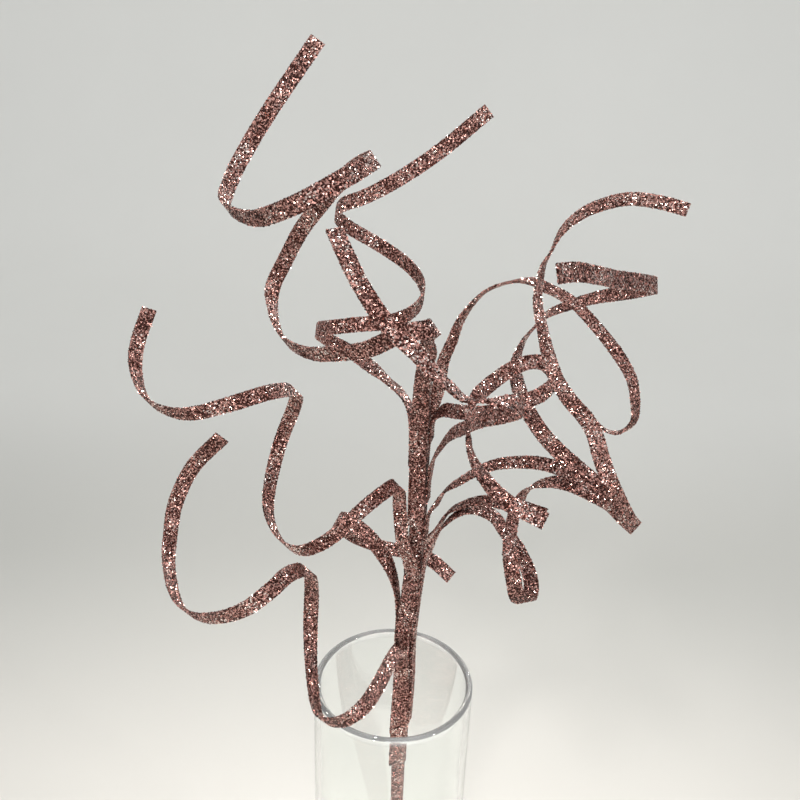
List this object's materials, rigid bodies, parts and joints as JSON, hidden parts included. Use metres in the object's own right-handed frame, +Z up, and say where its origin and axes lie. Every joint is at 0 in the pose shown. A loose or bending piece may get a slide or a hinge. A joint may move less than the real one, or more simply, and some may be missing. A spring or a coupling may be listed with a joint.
{
  "type": "curly willow pick in glass vase",
  "caption": "Glittered decorative curly willow pick with long coiled strips peeling off a bundled stem, standing in a straight clear glass cylinder vase.",
  "frame": {"origin": "centre of the vase's foot, on the surface that it stands on", "axes": "+Z up along the vase's axis, -Y the side that most curls open to, +X to the right seen from that side"},
  "size_m": [0.2125, 0.1647, 0.4669],
  "materials": {
    "glass": "clear polished glass with a fire-polished rim",
    "stem_glitter": "rose-gold glitter coating on a bound stem",
    "curl_glitter": "rose-gold glitter coating on flat strips"
  },
  "bodies": {
    "root": {"vase": "glass", "stem": "stem_glitter", "curl_1": "curl_glitter", "curl_2": "curl_glitter", "curl_3": "curl_glitter", "curl_4": "curl_glitter", "curl_5": "curl_glitter", "curl_6": "curl_glitter", "curl_7": "curl_glitter", "curl_8": "curl_glitter", "curl_9": "curl_glitter", "curl_10": "curl_glitter", "curl_11": "curl_glitter"}
  },
  "joints": []
}
